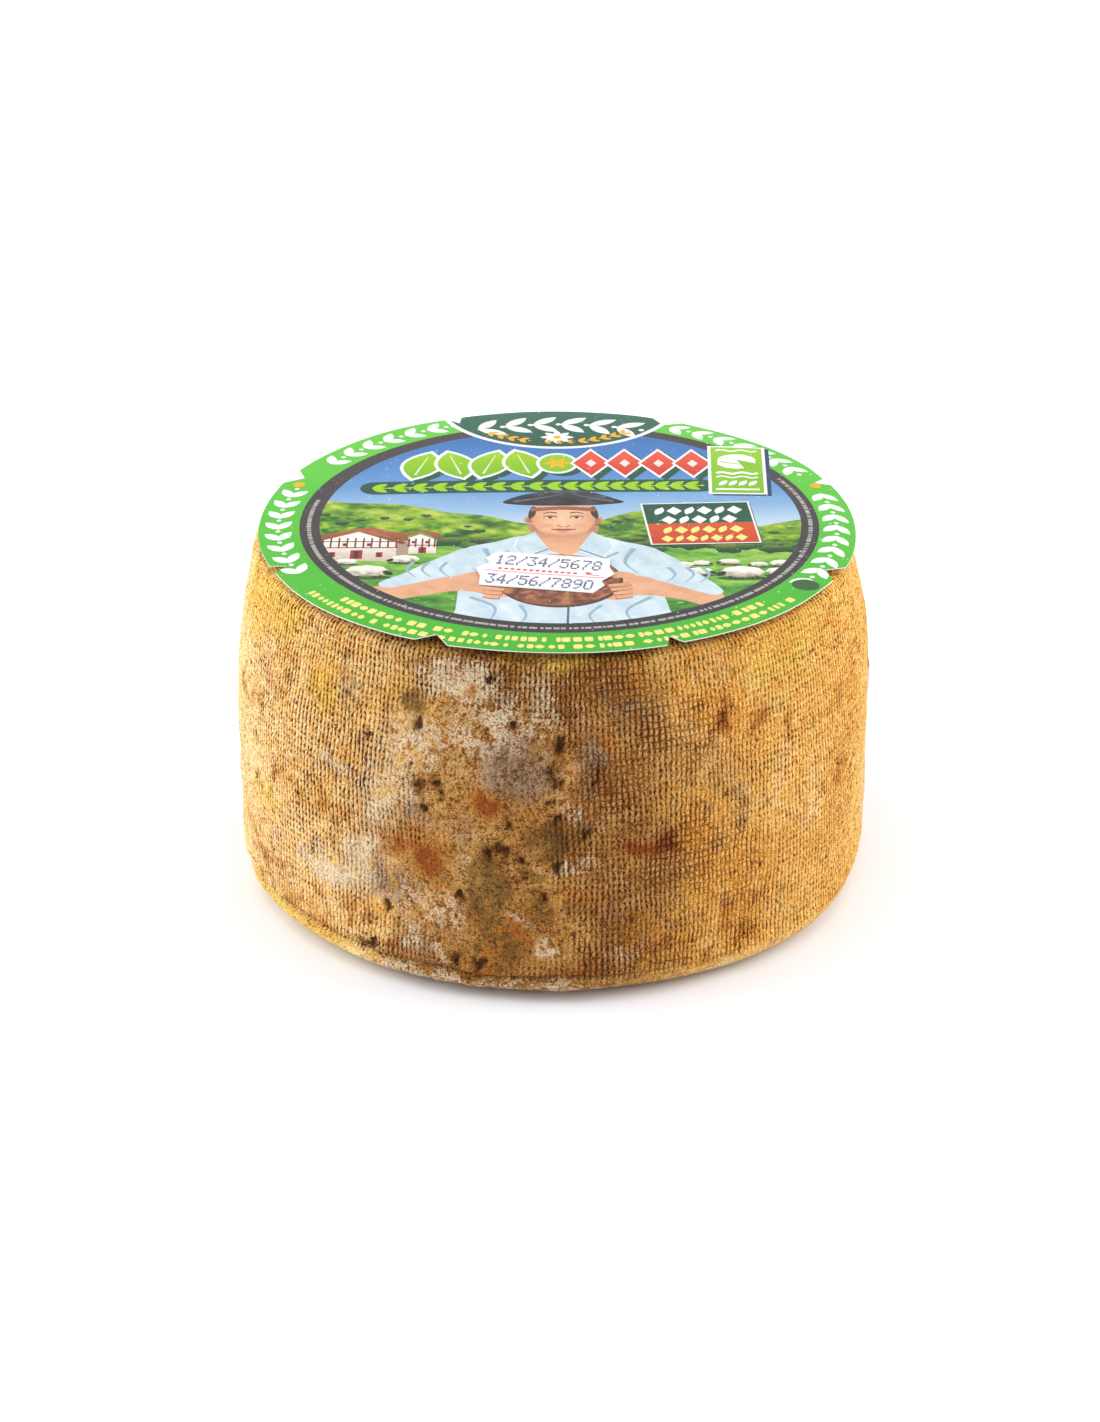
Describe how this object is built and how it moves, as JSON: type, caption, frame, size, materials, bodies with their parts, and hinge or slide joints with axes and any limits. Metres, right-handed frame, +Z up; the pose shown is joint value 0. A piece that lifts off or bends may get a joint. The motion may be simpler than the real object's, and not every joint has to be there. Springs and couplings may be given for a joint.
{
  "type": "cheese wheel",
  "caption": "Small upright wheel of pressed cheese with a cloth-marked natural rind, a notched round paper label on top and a stuck-on date sticker.",
  "frame": {"origin": "centre of the object's box at the face the wheel stands on", "axes": "+Z up through the wheel, from the standing face to the label; -Y towards the side where the label's date sticker is nearest"},
  "size_m": [0.151, 0.15, 0.0877],
  "materials": {
    "rind": "dry natural cheese rind, golden tan, marked by a coarse press cloth, with patches of cream and grey mould and rust-brown spots",
    "label_paper": "semi-gloss printed paper, green rim round a printed country scene",
    "sticker_paper": "smooth white self-adhesive paper with printed grey numbers"
  },
  "bodies": {
    "root": {"cheese_wheel": "rind", "paper_label": "label_paper", "date_sticker": "sticker_paper"}
  },
  "joints": []
}
